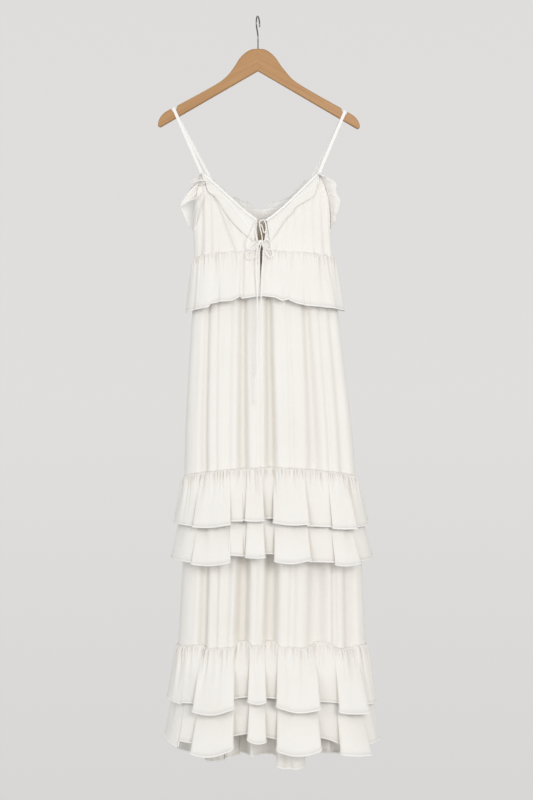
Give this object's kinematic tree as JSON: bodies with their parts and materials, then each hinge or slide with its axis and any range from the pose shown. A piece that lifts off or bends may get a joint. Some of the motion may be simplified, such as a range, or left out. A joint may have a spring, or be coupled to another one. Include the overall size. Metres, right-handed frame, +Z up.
{
  "type": "tiered maxi dress on a wooden hanger",
  "caption": "Sleeveless maxi dress with a V neck, peplum and paired ruffle tiers, hanging open on a wooden hanger with a wire hook.",
  "frame": {"origin": "inner top of the hanger's hook, where a rail carries it", "axes": "+Z up, -Y the dress's front, +X the wearer's left; the hem points down"},
  "size_m": [0.4874, 0.2894, 1.6337],
  "materials": {
    "cotton": "matt woven cotton voile",
    "wood": "satin lacquered",
    "wire": "polished"
  },
  "bodies": {
    "root": {"bodice_front_left": "cotton", "bodice_front_right": "cotton", "bodice_back": "cotton", "peplum_front_left": "cotton", "peplum_front_right": "cotton", "peplum_back": "cotton", "skirt_upper_front": "cotton", "skirt_upper_back": "cotton", "skirt_mid_front": "cotton", "skirt_mid_back": "cotton", "skirt_hem_front": "cotton", "skirt_hem_back": "cotton", "tier1_upper_front": "cotton", "tier1_upper_back": "cotton", "tier1_lower_front": "cotton", "tier1_lower_back": "cotton", "tier2_upper_front": "cotton", "tier2_upper_back": "cotton", "tier2_lower_front": "cotton", "tier2_lower_back": "cotton", "neck_frill_front_left": "cotton", "neck_frill_front_right": "cotton", "neck_frill_back_left": "cotton", "neck_frill_back_right": "cotton", "armhole_frill_left": "cotton", "armhole_frill_right": "cotton", "strap_left": "cotton", "strap_right": "cotton", "lace_left": "cotton", "lace_right": "cotton", "loop_left": "cotton", "loop_right": "cotton", "loop_low_left": "cotton", "loop_low_right": "cotton", "loop_top_right": "cotton", "tie_long_left": "cotton", "tie_long_right": "cotton", "tie_short": "cotton", "tie_knot": "cotton", "hanger_arm_left": "wood", "hanger_arm_right": "wood", "hook": "wire"}
  },
  "joints": []
}
